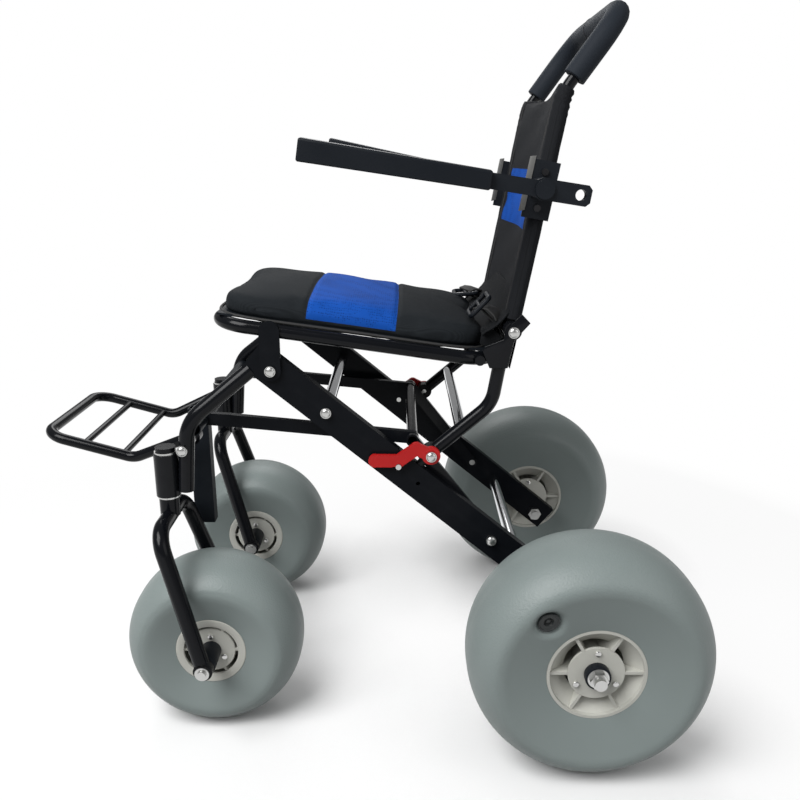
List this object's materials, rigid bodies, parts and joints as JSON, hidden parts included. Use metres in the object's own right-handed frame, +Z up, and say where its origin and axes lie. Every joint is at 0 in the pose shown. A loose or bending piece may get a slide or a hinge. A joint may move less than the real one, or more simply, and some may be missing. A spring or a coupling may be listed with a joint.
{
  "type": "beach wheelchair",
  "caption": "Compact folding beach wheelchair on fat balloon wheels, with swivel casters, a flip-up footrest, lifting armrests, a folding back and a tipping seat.",
  "frame": {"origin": "on the floor under the middle of the chair's bounding box", "axes": "+X forward, +Y to the sitter's left, +Z up"},
  "size_m": [0.955, 0.7606, 1.0011],
  "materials": {
    "black_paint": "gloss",
    "bright_tube": "polished",
    "steel": "satin",
    "rubber": "matte",
    "tyre": "matte",
    "hub_plastic": "matte",
    "black_plastic": "satin",
    "black_fabric": "matte",
    "webbing": "matte",
    "foam": "matte",
    "red_plastic": "gloss"
  },
  "bodies": {
    "chassis": {"main_beam_left": "black_paint", "main_beam_right": "black_paint", "front_tube_left": "black_paint", "front_tube_right": "black_paint", "head_tube_left": "black_paint", "head_tube_right": "black_paint", "head_bushes": "steel", "side_brace_left": "black_paint", "side_brace_right": "black_paint", "rear_strut_left": "black_paint", "rear_strut_right": "black_paint", "cross_bar": "black_paint", "front_cross_tube": "black_paint", "front_leg": "black_paint", "bright_cross_tubes": "bright_tube", "rear_axles": "steel", "axle_nuts": "steel", "frame_bolts": "steel", "latch_pins": "steel", "rest_bumpers": "rubber"},
    "seat_unit": {"seat_loop": "black_paint", "seat_lugs": "black_paint", "seat_board": "black_plastic", "seat_cushion": "black_fabric", "back_post_left": "black_paint", "back_post_right": "black_paint", "hinge_plates": "black_paint", "back_cross_tube": "bright_tube", "seat_bolts": "steel", "lap_belt": "webbing", "belt_buckle": "black_plastic"},
    "backrest": {"back_frame": "black_paint", "handle_foam": "foam", "back_sleeve": "black_fabric", "arm_brackets": "black_paint", "bracket_screws": "steel"},
    "footrest": {"footrest_loop": "black_paint", "footrest_rungs": "black_paint"},
    "armrest_left": {"arm_bar_left": "black_plastic", "arm_pad_left": "black_plastic"},
    "latch_left": {"latch_left": "red_plastic"},
    "fork_left": {"fork_left": "black_paint", "caster_axle_left": "steel"},
    "front_wheel_left": {"front_tyre_left": "tyre", "front_hub_left": "hub_plastic", "front_discs_left": "hub_plastic"},
    "rear_wheel_left": {"rear_tyre_left": "tyre", "rear_hub_left": "hub_plastic", "rear_discs_left": "hub_plastic"},
    "armrest_right": {"arm_bar_right": "black_plastic", "arm_pad_right": "black_plastic"},
    "latch_right": {"latch_right": "red_plastic"},
    "fork_right": {"fork_right": "black_paint", "caster_axle_right": "steel"},
    "front_wheel_right": {"front_tyre_right": "tyre", "front_hub_right": "hub_plastic", "front_discs_right": "hub_plastic"},
    "rear_wheel_right": {"rear_tyre_right": "tyre", "rear_hub_right": "hub_plastic", "rear_discs_right": "hub_plastic"}
  },
  "joints": [
    {"name": "seat_tip", "type": "hinge", "parent": "chassis", "child": "seat_unit", "pos_m": [0.1185, 0, 0.526], "axis": [0, 1, 0], "range_deg": [0, 45]},
    {"name": "backrest_fold", "type": "hinge", "parent": "seat_unit", "child": "backrest", "pos_m": [-0.2115, 0, 0.58], "axis": [0, 1, 0], "range_deg": [0, 65]},
    {"name": "footrest_flip", "type": "hinge", "parent": "chassis", "child": "footrest", "pos_m": [0.2415, 0, 0.418], "axis": [0, -1, 0], "range_deg": [0, 90]},
    {"name": "armrest_lift_left", "type": "hinge", "parent": "backrest", "child": "armrest_left", "pos_m": [-0.2378, 0.208, 0.76688], "axis": [0, -1, 0], "range_deg": [0, 90]},
    {"name": "latch_lift_left", "type": "hinge", "parent": "seat_unit", "child": "latch_left", "pos_m": [-0.1025, 0.179, 0.404], "axis": [0, -1, 0], "range_deg": [0, 40]},
    {"name": "caster_swivel_left", "type": "hinge", "parent": "chassis", "child": "fork_left", "pos_m": [0.2685, 0.187, 0.38], "axis": [0, 0, 1], "continuous": true},
    {"name": "front_wheel_spin_left", "type": "hinge", "parent": "fork_left", "child": "front_wheel_left", "pos_m": [0.2125, 0.187, 0.127], "axis": [0, 1, 0], "continuous": true},
    {"name": "rear_wheel_spin_left", "type": "hinge", "parent": "chassis", "child": "rear_wheel_left", "pos_m": [-0.3125, 0.29, 0.165], "axis": [0, 1, 0], "continuous": true},
    {"name": "armrest_lift_right", "type": "hinge", "parent": "backrest", "child": "armrest_right", "pos_m": [-0.2378, -0.208, 0.76688], "axis": [0, -1, 0], "range_deg": [0, 90]},
    {"name": "latch_lift_right", "type": "hinge", "parent": "seat_unit", "child": "latch_right", "pos_m": [-0.1025, -0.179, 0.404], "axis": [0, -1, 0], "range_deg": [0, 40]},
    {"name": "caster_swivel_right", "type": "hinge", "parent": "chassis", "child": "fork_right", "pos_m": [0.2685, -0.187, 0.38], "axis": [0, 0, 1], "continuous": true},
    {"name": "front_wheel_spin_right", "type": "hinge", "parent": "fork_right", "child": "front_wheel_right", "pos_m": [0.2125, -0.187, 0.127], "axis": [0, 1, 0], "continuous": true},
    {"name": "rear_wheel_spin_right", "type": "hinge", "parent": "chassis", "child": "rear_wheel_right", "pos_m": [-0.3125, -0.29, 0.165], "axis": [0, 1, 0], "continuous": true}
  ]
}
